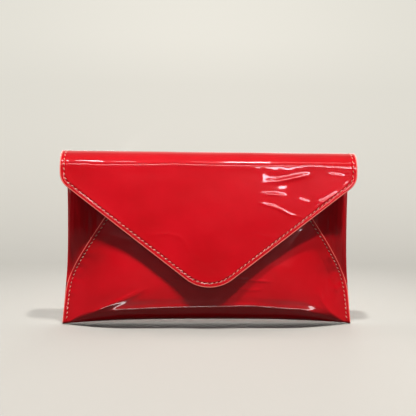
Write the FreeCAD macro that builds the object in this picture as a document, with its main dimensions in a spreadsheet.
# Envelope clutch purse in patent leather: a stuffed flat pouch whose front panel folds up over two
# side gussets, closed by a pointed flap that wraps over a rounded spine and holds with a magnetic
# snap.
# Frame: +Z up, +X to the wearer's right of the front, the front faces -Y.  Z = 0 is the bottom of
# the fold and X = 0 its middle; the last step centres the whole purse on Y = 0.  Millimetres.
import FreeCAD, Part
import Sketcher
import math
import os

V = FreeCAD.Vector
os.makedirs("parts", exist_ok=True)
doc = FreeCAD.newDocument("envelope_clutch")

# ---------------------------------------------------------------- driving dimensions
SIZES = [
    # pouch outline and spine
    ("base_half", 135.0), ("top_half", 127.6), ("fold_rise", 5.0), ("mouth_height", 130.0),
    ("crown_height", 158.0), ("spine_radius", 12.65), ("spine_length", 255.2),
    ("spine_clearance", 0.5), ("back_face", 1.3),
    # sheet thicknesses
    ("leather", 1.2), ("gusset_leather", 1.0), ("board", 1.0), ("cloth", 0.4), ("ply_gap", 0.1),
    # flap
    ("flap_half", 128.0), ("flap_side", 13.9), ("flap_slope", 37.9), ("flap_lean", 3.205),
    ("flap_corner_round", 15.0), ("flap_tip_round", 33.0), ("flap_leather", 1.0),
    ("flap_board", 0.7), ("flap_cloth", 0.5), ("flap_layer_gap", 0.05), ("paint_bead", 0.35),
    ("flap_board_inset", 6.0), ("flap_board_hole", 10.0),
    # slanting seams and stitches
    ("seam_height", 45.0), ("seam_slope", 55.5), ("stitch_pitch", 4.2), ("stitch_long", 3.1),
    ("thread_radius", 0.32), ("stitch_inset", 3.4),
    # magnetic snap
    ("snap_height", 69.0), ("snap_radius", 9.0), ("stud_plate", 0.6), ("stud_boss_radius", 4.2),
    ("stud_boss_long", 1.45), ("case_depth", 2.6), ("case_wall", 0.45),
    ("case_mouth_radius", 4.7), ("magnet_inner", 5.0), ("magnet_outer", 8.4),
    ("magnet_thick", 2.0), ("plate_thick", 0.4), ("washer_radius", 8.0), ("washer_thick", 0.5),
    # back layers and slip pocket
    ("back_low_half", 129.8), ("back_low_rise", 48.0), ("back_inset", 12.0),
    ("lining_inset", 14.0), ("board_low", 14.0), ("pocket_half", 70.0), ("pocket_low", 42.0),
    ("pocket_high", 108.0), ("pocket_trim", 8.0),
]
sheet = doc.addObject("Spreadsheet::Sheet", "sizes")
sheet.set("A1", "dimension")
sheet.set("B1", "millimetres")
for row, (alias, value) in enumerate(SIZES, start=2):
    sheet.set("A%d" % row, alias)
    sheet.set("B%d" % row, str(value))
    sheet.setAlias("B%d" % row, alias)
doc.recompute()


def size(alias):
    return float(sheet.get(alias))


def measure(formula):
    """Value and sheet expression of a sum such as "top_half - back_inset + 8"."""
    value, sign, words = 0.0, 1, []
    for word in formula.split():
        if word in ("+", "-"):
            sign = 1 if word == "+" else -1
            words.append(word)
        elif word[0].isdigit():
            value += sign * float(word)
            words.append(word)
        else:
            value += sign * size(word)
            words.append("sizes." + word)
    return value, " ".join(words)


BASE_HALF, TOP_HALF = size("base_half"), size("top_half")
MOUTH, CROWN = size("mouth_height"), size("crown_height")
SPINE_R, SPINE_LONG = size("spine_radius"), size("spine_length")
BACK_FACE = size("back_face")
LEATHER, GUSSET_T = size("leather"), size("gusset_leather")
CLOTH, PLY_GAP = size("cloth"), size("ply_gap")

# ---------------------------------------------------------------- finished pieces
made = []


def keep(obj, label):
    """Lists an object as a finished piece."""
    obj.Label = label
    made.append((label, obj))


def feature(label, shape):
    obj = doc.addObject("Part::Feature", label)
    obj.Shape = shape
    keep(obj, label)


# ---------------------------------------------------------------- pouch surface
# (height, half width of the pouch)
SIDE = [
    (0, BASE_HALF), (17, BASE_HALF - 2.0), (34, BASE_HALF - 3.7), (48, BASE_HALF - 5.2),
    (60, BASE_HALF - 6.0), (80, BASE_HALF - 6.8), (115, TOP_HALF), (160, TOP_HALF),
]
# (height, depth of the front face at the middle)
FRONT_MID = [
    (0, 21.5), (20, 22.6), (40, 23.2), (55, 22.78), (69, 22.0), (85, 21.1), (100, 20.26),
    (130, 18.58), (150, 17.5),
]
EDGE_DEPTH = 2.4        # depth of the front face at its low side edges
BULGE_MARGIN, BULGE_REACH = 5.0, 62.0   # flat strip at the side, then the width of the swell
ROUNDING_SHARE = 0.32   # share of the rise spent on the rounding at the bottom fold
ROUNDING_RATIO = 1.1    # height of that rounding over the depth there


def smooth_through(z, stations):
    """Monotone cubic through (z, value) stations, held level beyond the ends."""
    if z <= stations[0][0]:
        return stations[0][1]
    if z >= stations[-1][0]:
        return stations[-1][1]
    count = len(stations)
    chord = [(stations[k + 1][1] - stations[k][1]) / (stations[k + 1][0] - stations[k][0])
             for k in range(count - 1)]
    slope = [chord[0]]
    for before, after in zip(chord, chord[1:]):
        slope.append(0.0 if before * after <= 0 else 2 * before * after / (before + after))
    slope.append(chord[-1])
    k = next(k for k in range(count - 1) if z <= stations[k + 1][0])
    (z_low, low), (z_high, high) = stations[k], stations[k + 1]
    width = z_high - z_low
    q = (z - z_low) / width
    return (low * (2 * q ** 3 - 3 * q ** 2 + 1)
            + slope[k] * width * (q ** 3 - 2 * q ** 2 + q)
            + high * (-2 * q ** 3 + 3 * q ** 2)
            + slope[k + 1] * width * (q ** 3 - q ** 2))


def ramp(z, low, high):
    """Smooth step from 0 at low to 1 at high."""
    q = min(1.0, max(0.0, (z - low) / (high - low)))
    return q * q * (3 - 2 * q)


def soft_min(first, second, blend):
    return -blend * math.log(math.exp(-first / blend) + math.exp(-second / blend))


def soft_max(first, second, blend):
    return 0.5 * (first + second + math.sqrt((first - second) ** 2 + blend * blend))


def span(start, end, count):
    return [start + (end - start) * k / (count - 1.0) for k in range(count)]


def side_x(z):
    return smooth_through(z, SIDE)


def fold_z(x):
    """Height of the bottom fold, highest in the middle."""
    return size("fold_rise") * (1 - min(1.0, abs(x) / BASE_HALF) ** 3)


def front_depth(x, z):
    """Depth of the outer face in front of the seam plane, before the bottom rounding."""
    middle = smooth_through(z, FRONT_MID)
    upper_share = ramp(z, 42, 92)
    q = min(1.0, max(0.0, (side_x(z) - abs(x) - BULGE_MARGIN) / BULGE_REACH))
    lower = EDGE_DEPTH + (middle - EDGE_DEPTH) * (1 - (1 - q) ** 2)
    across = min(1.0, abs(x) / side_x(z))
    upper = middle * math.sqrt(max(0.0, 1 - across ** 4))
    return (1 - upper_share) * lower + upper_share * upper


def front_at(half_width, z_top):
    """Front surface: i runs -1 to 1 across half_width(z), j runs 0 at the fold to 1 at z_top."""
    def point(i, j):
        x = i * half_width(0.0)
        # the height depends on x and x on the height, so the two are refined in turn
        for _ in range(3):
            z_fold = fold_z(x)
            round_high = ROUNDING_RATIO * front_depth(x, 24.0)
            if j < ROUNDING_SHARE:
                angle = j / ROUNDING_SHARE * math.pi / 2
                z = z_fold + round_high * (1 - math.cos(angle))
                depth_share = math.sin(angle)
            else:
                z = z_fold + round_high + ((j - ROUNDING_SHARE) / (1 - ROUNDING_SHARE)
                                           * (z_top - z_fold - round_high))
                depth_share = 1.0
            x = i * half_width(z)
        return V(x, -front_depth(x, z) * depth_share, z)
    return point


def seam_x(z):
    """Half width of the front panel: full width below the seam corner, then the slanting edge."""
    seam_z = size("seam_height")
    full = side_x(z) - 0.4
    slant = side_x(seam_z) - 0.5 - (z - seam_z) / math.tan(math.radians(size("seam_slope")))
    return soft_min(full, slant, 4.0)


# ---------------------------------------------------------------- curved sheets
def inward_normal(surface, i, j):
    """Unit normal of surface(i, j), turned into the pouch."""
    step = 0.004
    along_i = surface(i + step, j) - surface(i - step, j)
    along_j = surface(i, j + step) - surface(i, j - step)
    normal = along_i.cross(along_j)
    if normal.Length < 1e-9:
        return V(0, 0, 0)
    normal.normalize()
    inward = V(0, 1, 0.25 if surface(i, j).z > 20 else 1.0)
    return normal * -1 if normal.dot(inward) < 0 else normal


def draped(grid):
    """Uniform cubic surface with the grid as its control net, so it never swings past it."""
    def knots(count):
        return [float(k) for k in range(count - 2)], [4] + [1] * (count - 4) + [4]
    u_knots, u_mults = knots(len(grid))
    v_knots, v_mults = knots(len(grid[0]))
    surface = Part.BSplineSurface()
    surface.buildFromPolesMultsKnots(
        grid, u_mults, v_mults, u_knots, v_knots, False, False, 3, 3)
    return surface


def fitted(grid):
    surface = Part.BSplineSurface()
    surface.interpolate(grid)
    return surface


def sheet_between(outer_grid, inner_grid, skin=fitted):
    """Solid between two point grids: two skins and four ruled edge faces, sewn."""
    faces, borders = [], []
    for grid in (outer_grid, inner_grid):
        surface = skin(grid)
        faces.append(surface.toShape())
        u0, u1, v0, v1 = surface.bounds()
        borders.append([surface.vIso(v0), surface.vIso(v1), surface.uIso(u0), surface.uIso(u1)])
    for outer_edge, inner_edge in zip(*borders):
        faces.append(Part.makeRuledSurface(outer_edge.toShape(), inner_edge.toShape()))
    shell = Part.makeShell(faces)
    shell.sewShape()
    # sewing may wrap the shell in a compound
    solid = Part.makeSolid(shell if shell.ShapeType == "Shell" else shell.Shells[0])
    if solid.Volume < 0:
        solid.reverse()
    if not solid.isValid():
        solid.fix(1e-4, 1e-4, 1e-3)
    return solid


def sheet_solid(surface, outer, inner, i_values, j_values, clamp=None):
    """Solid between two inward offsets, outer and inner, of surface(i, j)."""
    grids = ([], [])
    for i in i_values:
        rows = ([], [])
        for j in j_values:
            point, normal = surface(i, j), inward_normal(surface, i, j)
            for row, offset in zip(rows, (outer, inner)):
                moved = point + normal * offset
                row.append(clamp(moved) if clamp else moved)
        for grid, row in zip(grids, rows):
            grid.append(row)
    return sheet_between(*grids)


def trimmed(shape, tool):
    """The shape less anything that lies inside the tool, keeping each solid's largest piece."""
    out = []
    for solid in shape.Solids:
        if solid.BoundBox.intersect(tool.BoundBox):
            solid = max(solid.cut(tool).Solids, key=lambda piece: piece.Volume)
        out.append(solid)
    return out[0] if len(out) == 1 else Part.makeCompound(out)


# ---------------------------------------------------------------- flap and snap frames
FLAP_TOP_Z = CROWN - SPINE_R - size("spine_clearance")
flap_frame = FreeCAD.Placement(V(0, BACK_FACE - 2 * SPINE_R, FLAP_TOP_Z),
                               FreeCAD.Rotation(V(1, 0, 0), -size("flap_lean")))
INTO_PURSE = flap_frame.Rotation.multVec(V(0, 1, 0))
SNAP_DOWN = (FLAP_TOP_Z - size("snap_height")) / math.cos(math.radians(size("flap_lean")))


def on_flap(x, down, depth):
    """Point at a distance down the flap and a depth behind its outer face."""
    return flap_frame.multVec(V(x, depth, -down))


# local Z of the snap runs into the purse, from the flap's outer face
snap_frame = FreeCAD.Placement(
    on_flap(0, SNAP_DOWN, 0),
    flap_frame.Rotation.multiply(FreeCAD.Rotation(V(1, 0, 0), -90)))

PRONG_X, PRONG_WIDE, PRONG_HIGH = 5.5, 0.6, 3.0


def disc(radius, depth, thick):
    shape = Part.makeCylinder(radius, thick, V(0, 0, depth), V(0, 0, 1))
    shape.Placement = snap_frame.multiply(shape.Placement)
    return shape


def prongs(depth, thick, grow=0.0):
    """The pair of flat prongs; grow widens them all round into a slot cutter."""
    left, right = [
        Part.makeBox(PRONG_WIDE + 2 * grow, PRONG_HIGH + 2 * grow, thick,
                     V(x - PRONG_WIDE / 2 - grow, -PRONG_HIGH / 2 - grow, depth))
        for x in (-PRONG_X, PRONG_X)]
    shape = left.fuse(right)
    shape.Placement = snap_frame.multiply(shape.Placement)
    return shape


# ---------------------------------------------------------------- sketches on the XZ plane
ORIGIN = (-1, 1)
X_AXIS, Y_AXIS = -1, -2
START, END = 1, 2


def new_sketch(body, label):
    plane = [f for f in body.Origin.OriginFeatures if f.Role == "XZ_Plane"][0]
    sketch = body.newObject("Sketcher::SketchObject", label)
    sketch.AttachmentSupport = [(plane, "")]
    sketch.MapMode = "FlatFace"
    return sketch


def constrain(sketch, *terms):
    return sketch.addConstraint(Sketcher.Constraint(*terms))


def drive(sketch, expression, *terms):
    """Adds a dimension and binds it to the sheet."""
    index = constrain(sketch, *terms)
    sketch.setExpression("Constraints[%d]" % index, expression)


def new_pad(body, sketch, label, thick, backward=False):
    """Pads towards -Y, or towards +Y when backward."""
    pad = body.newObject("PartDesign::Pad", label)
    pad.Profile = sketch
    pad.Reversed = backward
    pad.setExpression("Length", thick)
    doc.recompute()
    return pad


def upright_pad(label, y_back, thick, corners, arched=False):
    """Upright symmetric panel in front of y_back.  corners holds (half width, height) formulas
    of the right side from bottom to top; arched bows the bottom edge up by the fold rise."""
    body = doc.addObject("PartDesign::Body", label)
    sketch = new_sketch(body, label + "_outline")
    right = [(measure(half), measure(height)) for half, height in corners]
    ring = [(half[0], height[0]) for half, height in right]
    ring += [(-x, z) for x, z in reversed(ring)]
    last = len(ring) - 1
    ids = [sketch.addGeometry(Part.LineSegment(V(*ring[k], 0), V(*ring[k + 1], 0)), False)
           for k in range(last)]
    if arched:
        x, z = ring[0]
        rise = size("fold_rise")
        radius = (x ** 2 + rise ** 2) / (2 * rise)
        z_centre = z + rise - radius
        angle = math.atan2(z - z_centre, x)
        circle = Part.Circle(V(0, z_centre, 0), V(0, 0, 1), radius)
        bottom = Part.ArcOfCircle(circle, angle, math.pi - angle)
    else:
        bottom = Part.LineSegment(V(*ring[last], 0), V(*ring[0], 0))
    ids.append(sketch.addGeometry(bottom, False))
    # the arc starts at its right end, the straight bottom edge at its left end
    left_end, right_end = (END, START) if arched else (START, END)
    for k in range(last - 1):
        constrain(sketch, "Coincident", ids[k], END, ids[k + 1], START)
    constrain(sketch, "Coincident", ids[last - 1], END, ids[last], left_end)
    constrain(sketch, "Coincident", ids[last], right_end, ids[0], START)
    for k, ((half, half_sum), (height, height_sum)) in enumerate(right):
        for sign, factor, vertex in ((1, "", (ids[k], START)),
                                     (-1, "-1 * ", (ids[last - 1 - k], END))):
            drive(sketch, "%s(%s)" % (factor, half_sum),
                  "DistanceX", *ORIGIN, *vertex, sign * half)
            if height > 0:
                drive(sketch, height_sum, "DistanceY", *ORIGIN, *vertex, height)
            else:
                constrain(sketch, "PointOnObject", *vertex, X_AXIS)
    if arched:
        drive(sketch, "(sizes.base_half ^ 2 + sizes.fold_rise ^ 2) / (2 * sizes.fold_rise)",
              "Radius", ids[last], radius)
    body.Tip = new_pad(body, sketch, label + "_pad", thick)
    body.Placement = FreeCAD.Placement(V(0, y_back, 0), FreeCAD.Rotation())
    doc.recompute()
    keep(body, label)


# ---------------------------------------------------------------- outer pouch
front_slots = prongs(5.0, 6.0, 0.25)
FRONT_ACROSS = [-1, -0.97, -0.92, -0.85, -0.76, -0.65, -0.5, -0.33, -0.16, 0,
                0.16, 0.33, 0.5, 0.65, 0.76, 0.85, 0.92, 0.97, 1]
FRONT_UP = [0.004, 0.05, 0.1, 0.16, 0.22, 0.28, 0.34, 0.41, 0.49, 0.57, 0.65, 0.73, 0.82,
            0.91, 1.0]


def front_panel():
    def before_seam_plane(point):
        return V(point.x, min(point.y, -0.05), point.z)
    panel = sheet_solid(front_at(seam_x, MOUTH), 0.0, LEATHER, FRONT_ACROSS, FRONT_UP,
                        before_seam_plane)
    return panel.cut(front_slots).Solids[0]


def gusset(sign):
    """Side gusset: starts at the side fold and runs forward and in under the slanting edge."""
    z_low = size("seam_height") + 3
    grids = ([], [])
    for j in span(0.0, 1.0, 16):
        z = z_low + j * (MOUTH - z_low)
        outer_x = side_x(z) - 0.35
        inner_x = seam_x(z) - 12
        clearance = LEATHER + PLY_GAP + 0.35 + 0.55 * ramp(z, 85, 125)
        rows = ([], [])
        for i in span(0.0, 1.0, 15):
            x = outer_x + (inner_x - outer_x) * i ** 1.8
            depth = front_depth(x, z)
            slope = (depth - front_depth(x - 0.3, z)) / 0.3
            # thickness is measured along Y, so it grows where the front falls away
            stretch = min(2.6, math.sqrt(1 + slope * slope))
            face = soft_max(0.5, depth - clearance * stretch, 0.4)
            back = soft_max(0.05, face - GUSSET_T * stretch, 0.3)
            rows[0].append(V(sign * x, -face, z))
            rows[1].append(V(sign * x, -back, z))
        for grid, row in zip(grids, rows):
            grid.append(row)
    return sheet_between(*grids, skin=draped)


front_shape = front_panel()
feature("front_panel", front_shape)

RIM = "crown_height - spine_radius - spine_clearance"
upright_pad("back_panel", BACK_FACE, "sizes.leather",
            [("base_half", "0"), ("back_low_half", "back_low_rise"), ("top_half", "115"),
             ("top_half", RIM)],
            arched=True)
feature("left_gusset", trimmed(gusset(-1), front_shape))
feature("right_gusset", trimmed(gusset(1), front_shape))


# ---------------------------------------------------------------- inner layers of the front
def front_board():
    def half_width(z):
        return soft_min(seam_x(z) - 15, 105, 3.0)
    surface = front_at(half_width, MOUTH - 4)
    outer = LEATHER + PLY_GAP + 0.2
    board = sheet_solid(lambda i, j: surface(i, 0.37 + 0.63 * j), outer, outer + 0.6,
                        span(-1, 1, 21), span(0, 1, 15))
    return board.cut(front_slots).Solids[0]


def front_lining():
    def half_width(z):
        return side_x(z) - 15 + 8 * ramp(z, 50, 95)
    surface = front_at(half_width, MOUTH - 12)
    return sheet_solid(lambda i, j: surface(i, 0.14 + 0.86 * j), 3.6, 3.6 + CLOTH,
                       span(-1, 1, 17), span(0, 1, 12))


def front_mouth_facing():
    half, high = side_x(124) - 7, 11.7

    def surface(i, j):
        x, z = i * half, MOUTH - high + high * j
        return V(x, -front_depth(x, z), z)
    return sheet_solid(surface, 3.4, 4.2, span(-1, 1, 17), span(0, 1, 4))


feature("front_board", front_board())
feature("front_lining", front_lining())
feature("front_mouth_facing", front_mouth_facing())

# ---------------------------------------------------------------- inner layers of the back
# back face of each layer, one ply gap in front of the layer behind it
Y_BOARD = BACK_FACE - LEATHER - PLY_GAP
Y_LINING = Y_BOARD - size("board") - PLY_GAP
Y_POCKET = Y_LINING - CLOTH - PLY_GAP
Y_TRIM = Y_POCKET - CLOTH - PLY_GAP

# (label, back face, thickness, corners)
BACK_LAYERS = [
    ("back_board", Y_BOARD, "sizes.board",
     [("back_low_half - back_inset", "board_low"),
      ("back_low_half - back_inset", "back_low_rise"),
      ("top_half - back_inset", "115"),
      ("top_half - back_inset", "mouth_height")]),
    ("back_lining", Y_LINING, "sizes.cloth",
     [("back_low_half - lining_inset", "board_low - 2"),
      ("back_low_half - lining_inset", "back_low_rise"),
      ("top_half - lining_inset + 8", "100"),
      ("top_half - lining_inset + 8", RIM)]),
    ("slip_pocket", Y_POCKET, "sizes.cloth",
     [("pocket_half", "pocket_low"), ("pocket_half", "pocket_high")]),
    ("slip_pocket_trim", Y_TRIM, "0.7 * sizes.gusset_leather",
     [("pocket_half", "pocket_high - pocket_trim"), ("pocket_half", "pocket_high + 0.2")]),
]
for layer in BACK_LAYERS:
    upright_pad(*layer)


# ---------------------------------------------------------------- spine
def half_tube(label, outer_radius, inner_radius):
    """Upper half of a tube lying along X at the top of the back."""
    outer = doc.addObject("Part::Cylinder", label + "_outer")
    inner = doc.addObject("Part::Cylinder", label + "_inner")
    outer.Angle = 180
    for cylinder, radius in ((outer, outer_radius), (inner, inner_radius)):
        cylinder.setExpression("Radius", radius)
        cylinder.setExpression("Height", "sizes.spine_length")
    tube = doc.addObject("Part::Cut", label)
    tube.Base, tube.Tool = outer, inner
    doc.recompute()
    # local X runs across, local Y up, local Z along the length
    turn = FreeCAD.Rotation(V(0, 1, 0), V(0, 0, 1), V(1, 0, 0), "ZXY")
    tube.Placement = FreeCAD.Placement(
        V(-SPINE_LONG / 2, BACK_FACE - SPINE_R, CROWN - SPINE_R), turn)
    keep(tube, label)


UNDER_SPINE = "sizes.spine_radius - sizes.leather"
half_tube("spine_panel", "sizes.spine_radius", UNDER_SPINE)
half_tube("spine_lining", UNDER_SPINE + " - sizes.ply_gap",
          UNDER_SPINE + " - sizes.ply_gap - sizes.cloth")

# ---------------------------------------------------------------- flap
FLAP_HALF, FLAP_SIDE = size("flap_half"), size("flap_side")
FLAP_SLOPE = math.radians(size("flap_slope"))
FLAP_APEX = FLAP_SIDE + FLAP_HALF * math.tan(FLAP_SLOPE)    # down to the unrounded point
APEX_PER_INSET = 1.27   # rise of the point for each millimetre of inset
# depths behind the flap's outer face
BOARD_DEPTH = size("flap_leather") + size("flap_layer_gap")
LINING_DEPTH = BOARD_DEPTH + size("flap_board") + size("flap_layer_gap")
FLAP_THICK = LINING_DEPTH + size("flap_cloth")


def round_corners(body, base, label, radius, near):
    """Fillets the edges that run along Y and whose first point satisfies near."""
    names = []
    for k, edge in enumerate(base.Shape.Edges):
        if len(edge.Vertexes) == 2:
            first, second = [vertex.Point for vertex in edge.Vertexes]
            along_y = abs(first.x - second.x) < 1e-4 and abs(first.z - second.z) < 1e-4
            if along_y and near(first):
                names.append("Edge%d" % (k + 1))
    fillet = body.newObject("PartDesign::Fillet", label)
    fillet.Base = (base, names)
    fillet.setExpression("Radius", radius)
    doc.recompute()
    return fillet


def snap_opening(body, label):
    """Round hole through a flap layer at the snap."""
    radius = size("flap_board_hole")
    sketch = new_sketch(body, label + "_hole")
    circle = sketch.addGeometry(Part.Circle(V(0, -SNAP_DOWN, 0), V(0, 0, 1), radius), False)
    drive(sketch, "sizes.flap_board_hole", "Radius", circle, radius)
    constrain(sketch, "PointOnObject", circle, 3, Y_AXIS)
    constrain(sketch, "DistanceY", circle, 3, *ORIGIN, SNAP_DOWN)
    pocket = body.newObject("PartDesign::Pocket", label + "_opening")
    pocket.Profile = sketch
    pocket.Type = "ThroughAll"
    pocket.Midplane = True
    doc.recompute()
    return pocket


def flap_layer(label, depth, thick, inset_formula="0", hole=False):
    """Pointed sheet on the flap's lean, its outline drawn in by the inset."""
    inset, inset_sum = measure(inset_formula)
    half = FLAP_HALF - inset
    apex = FLAP_APEX - inset * APEX_PER_INSET
    body = doc.addObject("PartDesign::Body", label)
    sketch = new_sketch(body, label + "_outline")
    points = [V(-half, 0, 0), V(half, 0, 0), V(half, -FLAP_SIDE, 0), V(0, -apex, 0),
              V(-half, -FLAP_SIDE, 0)]
    top, right, lower_right, lower_left, left = ids = [
        sketch.addGeometry(Part.LineSegment(points[k], points[(k + 1) % 5]), False)
        for k in range(5)]
    for k in range(5):
        constrain(sketch, "Coincident", ids[k], END, ids[(k + 1) % 5], START)
    constrain(sketch, "Horizontal", top)
    constrain(sketch, "Vertical", right)
    constrain(sketch, "Vertical", left)
    constrain(sketch, "PointOnObject", top, START, X_AXIS)
    constrain(sketch, "PointOnObject", lower_right, END, Y_AXIS)
    drive(sketch, "2 * (sizes.flap_half - %s)" % inset_sum,
          "DistanceX", top, START, top, END, 2 * half)
    drive(sketch, "sizes.flap_side", "DistanceY", right, END, right, START, FLAP_SIDE)
    constrain(sketch, "DistanceY", left, START, left, END, FLAP_SIDE)
    constrain(sketch, "DistanceX", top, START, *ORIGIN, half)
    constrain(sketch, "DistanceY", lower_right, END, *ORIGIN, apex)
    pad = new_pad(body, sketch, label + "_pad", thick, backward=True)
    tip = round_corners(body, pad, label + "_tip", "sizes.flap_tip_round - %s" % inset_sum,
                        lambda point: abs(point.x) < 0.01)
    corners = round_corners(
        body, tip, label + "_corners", "sizes.flap_corner_round - %s" % inset_sum,
        lambda point: abs(abs(point.x) - half) < 0.01 and abs(point.z + FLAP_SIDE) < 0.01)
    body.Tip = corners
    if hole:
        body.Tip = snap_opening(body, label)
    body.Placement = flap_frame.multiply(
        FreeCAD.Placement(V(0, depth, 0), FreeCAD.Rotation()))
    doc.recompute()
    return body


def edge_paint():
    """Bead of paint round the flap's cut edge, open along the top."""
    core = flap_layer("flap_bead_core", 0.0, "sizes.flap_leather").Shape.copy()
    core.Placement = flap_frame.inverse().multiply(core.Placement)
    face = [f for f in core.Faces
            if abs(f.normalAt(0, 0).y) > 0.99 and abs(f.CenterOfMass.y) < 1e-3][0]
    wide = face.makeOffset2D(size("paint_bead"), 0, False, False, True)
    ring = wide.cut(face.makeOffset2D(0.02, 0, False, False, True))
    bead = ring.extrude(V(0, FLAP_THICK, 0))
    bead = bead.cut(Part.makeBox(400, 20, 20, V(-200, -10, 0.0)))
    bead.Placement = flap_frame
    return bead


keep(flap_layer("flap_panel", 0.0, "sizes.flap_leather"), "flap_panel")
keep(flap_layer("flap_board", BOARD_DEPTH, "sizes.flap_board", "flap_board_inset", hole=True),
     "flap_board")
lining_sheet = flap_layer("flap_lining_sheet", LINING_DEPTH, "sizes.flap_cloth").Shape.copy()
feature("flap_edge_paint", edge_paint())
feature("flap_lining", lining_sheet.cut(prongs(0, 9, 0.2)))

# ---------------------------------------------------------------- magnetic snap
SNAP_R = size("snap_radius")
STUD_DEPTH = FLAP_THICK + 0.05
CASE_DEPTH = STUD_DEPTH + size("stud_plate") + 0.05
PLATE_DEPTH = CASE_DEPTH + size("case_depth") + 0.02


def snap_stud():
    plate = disc(SNAP_R, STUD_DEPTH, size("stud_plate"))
    boss = disc(size("stud_boss_radius"), STUD_DEPTH + size("stud_plate") - 0.001,
                size("stud_boss_long"))
    legs = prongs(BOARD_DEPTH + 0.02, STUD_DEPTH - BOARD_DEPTH)
    return plate.fuse(boss).fuse(legs).removeSplitter()


def snap_washer(depth, slot_long):
    washer = disc(size("washer_radius"), depth, size("washer_thick"))
    return washer.cut(prongs(0, slot_long, 0.2))


def snap_socket_case():
    """Shallow cup with a hole in its floor, open towards the inside of the purse."""
    wall, deep = size("case_wall"), size("case_depth")
    case = disc(SNAP_R, CASE_DEPTH, deep)
    case = case.cut(disc(size("case_mouth_radius"), CASE_DEPTH - 1, deep + 2))
    return case.cut(disc(SNAP_R - wall, CASE_DEPTH + wall, deep))


def snap_magnet_ring():
    magnet = disc(size("magnet_outer"), CASE_DEPTH + size("case_wall") + 0.03,
                  size("magnet_thick"))
    return magnet.cut(disc(size("magnet_inner"), CASE_DEPTH, 9))


def snap_socket_plate():
    plate = disc(SNAP_R, PLATE_DEPTH, size("plate_thick"))
    return plate.fuse(prongs(PLATE_DEPTH + 0.1, 3.55)).removeSplitter()


feature("snap_stud", snap_stud())
feature("snap_stud_washer", snap_washer(BOARD_DEPTH + 0.05, 9))
feature("snap_socket_case", snap_socket_case())
feature("snap_magnet_ring", snap_magnet_ring())
feature("snap_socket_plate", snap_socket_plate())
feature("snap_socket_washer", snap_washer(PLATE_DEPTH + size("plate_thick") + 2.45, 14))

# ---------------------------------------------------------------- thread
THREAD_R, STITCH_INSET = size("thread_radius"), size("stitch_inset")
FINE_THREAD_R = THREAD_R * 0.7


def stitches(points, normals, clear, radius=THREAD_R, lean=0.0):
    """One short round bar per stitch along the seam, held clear of the surface;
    lean turns each bar off the seam line, in radians."""
    long = size("stitch_long")
    bars = []
    for start, end, normal in zip(points, points[1:], normals):
        along = end - start
        if along.Length < 1e-6:
            continue
        along.normalize()
        along = along * math.cos(lean) + normal.cross(along) * math.sin(lean)
        middle = (start + end) * 0.5 + normal * (radius + clear)
        bars.append(Part.makeCylinder(radius, long, middle - along * (long / 2), along))
    return Part.makeCompound(bars)


def stitch_points(line):
    """Evenly spaced points along a polyline, about one stitch pitch apart."""
    run = [0.0]
    for before, after in zip(line, line[1:]):
        run.append(run[-1] + (after - before).Length)
    count = max(2, int(round(run[-1] / size("stitch_pitch"))))
    out, k = [], 0
    for step in range(count + 1):
        target = run[-1] * step / count
        while k < len(run) - 2 and run[k + 1] < target:
            k += 1
        share = (target - run[k]) / max(1e-9, run[k + 1] - run[k])
        out.append(line[k] + (line[k + 1] - line[k]) * share)
    return out


def flap_seam(inset):
    """Stitch line from the right top round the point to the left top, as (x, down)."""
    half = FLAP_HALF - inset
    apex = FLAP_APEX - inset / math.cos(FLAP_SLOPE)
    side = apex - half * math.tan(FLAP_SLOPE)
    corner_r, tip_r = size("flap_corner_round") - inset, size("flap_tip_round") - inset
    turn = math.pi / 2 - FLAP_SLOPE
    corner_down = side - corner_r * math.tan(turn / 2)
    tip_down = apex - tip_r / math.cos(FLAP_SLOPE)
    points = [(half, 0.8), (half, corner_down)]
    for k in range(1, 13):
        angle = turn * k / 12
        points.append((half - corner_r + corner_r * math.cos(angle),
                       corner_down + corner_r * math.sin(angle)))
    for k in range(15):
        angle = turn + FLAP_SLOPE * k / 14
        points.append((tip_r * math.cos(angle), tip_down + tip_r * math.sin(angle)))
    return points + [(-x, down) for x, down in reversed(points[:-1])]


def flap_stitching(depth, normal, **thread):
    points = stitch_points([on_flap(x, down, depth) for x, down in flap_seam(STITCH_INSET)])
    return stitches(points, [normal] * len(points), clear=0.02, **thread)


def spine_stitching():
    """A row over the spine near each end."""
    bars = []
    for sign in (-1, 1):
        centre = V(sign * (SPINE_LONG / 2 - STITCH_INSET), BACK_FACE - SPINE_R, CROWN - SPINE_R)
        points = stitch_points([
            centre + V(0, SPINE_R * math.cos(angle), SPINE_R * math.sin(angle))
            for angle in span(0.06, math.pi - 0.06, 41)])
        normals = [((start + end) * 0.5 - centre).normalize()
                   for start, end in zip(points, points[1:])]
        bars += stitches(points, normals, clear=0.3).Solids
    return Part.makeCompound(bars)


def seam_stitching(sign):
    """Row inside one slanting edge of the front panel."""
    surface = front_at(lambda z: seam_x(z) - STITCH_INSET, MOUTH)
    points = stitch_points([surface(sign, 0.03 + 0.95 * k / 120) for k in range(121)])
    step = 0.3
    normals = []
    for start, end in zip(points, points[1:]):
        middle = (start + end) * 0.5
        x, z = abs(middle.x), middle.z
        slope_x = (front_depth(x + step, z) - front_depth(x - step, z)) / (2 * step)
        slope_z = (front_depth(x, z + step) - front_depth(x, z - step)) / (2 * step)
        normals.append(V(-sign * slope_x, -1, -slope_z).normalize())
    return trimmed(stitches(points, normals, clear=0.42), front_shape)


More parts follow.
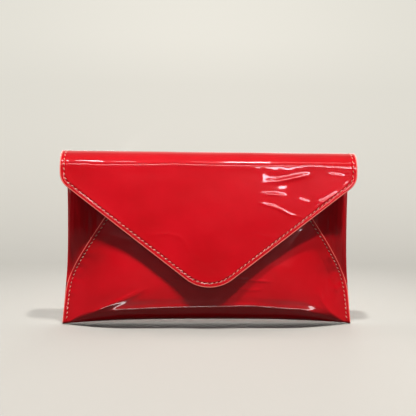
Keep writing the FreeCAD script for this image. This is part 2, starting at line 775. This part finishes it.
def mouth_stitching():
    z = MOUTH - 3
    points = stitch_points([V(x, -front_depth(x, z), z) for x in span(-60, 60, 61)])
    return stitches(points, [V(0, -1, -0.05)] * len(points), clear=0.12)


def pocket_stitching():
    """Down one side of the slip pocket, along its bottom and up the other side."""
    x, y = size("pocket_half") - 2, Y_TRIM + PLY_GAP
    z_high, z_low = size("pocket_high") - 10, size("pocket_low") + 2
    path = [V(-x, y, z_high), V(-x, y, z_low), V(x, y, z_low), V(x, y, z_high)]
    bars = []
    for start, end in zip(path, path[1:]):
        points = stitch_points([start, end])[1:-1]
        bars += stitches(points, [V(0, -1, 0)] * len(points), clear=0.02,
                         radius=FINE_THREAD_R).Solids
    return Part.makeCompound(bars)


feature("flap_stitching", flap_stitching(0, INTO_PURSE * -1, lean=0.25))
feature("flap_lining_stitching",
        flap_stitching(FLAP_THICK, INTO_PURSE, radius=FINE_THREAD_R))
feature("spine_stitching", spine_stitching())
feature("left_seam_stitching", seam_stitching(-1))
feature("right_seam_stitching", seam_stitching(1))
feature("mouth_stitching", mouth_stitching())
feature("pocket_stitching", pocket_stitching())

# ---------------------------------------------------------------- centre the purse on Y = 0
doc.recompute()
y_low = min(obj.Shape.BoundBox.YMin for _, obj in made)
y_high = max(obj.Shape.BoundBox.YMax for _, obj in made)
centring = FreeCAD.Placement(V(0, round(-(y_low + y_high) / 2, 3), 0), FreeCAD.Rotation())
for _, obj in made:
    obj.Placement = centring.multiply(obj.Placement)

# ---------------------------------------------------------------- checks and export
doc.recompute()
for obj in doc.Objects:
    if any(state in obj.State for state in ("Invalid", "Error")):
        raise RuntimeError("%s did not build: %s" % (obj.Label, obj.State))
labels = [label for label, _ in made]
assert len(set(labels)) == len(labels), labels
for label, obj in made:
    shape = obj.Shape
    if shape.isNull() or not shape.isValid() or not shape.Solids:
        raise RuntimeError("%s has no valid solid" % label)
    if any(solid.Volume <= 0 for solid in shape.Solids):
        raise RuntimeError("%s has a solid with no volume" % label)
for old in os.listdir("parts"):
    if old.endswith(".step"):
        os.remove(os.path.join("parts", old))
for label, obj in made:
    obj.Shape.exportStep("parts/%s.step" % label)
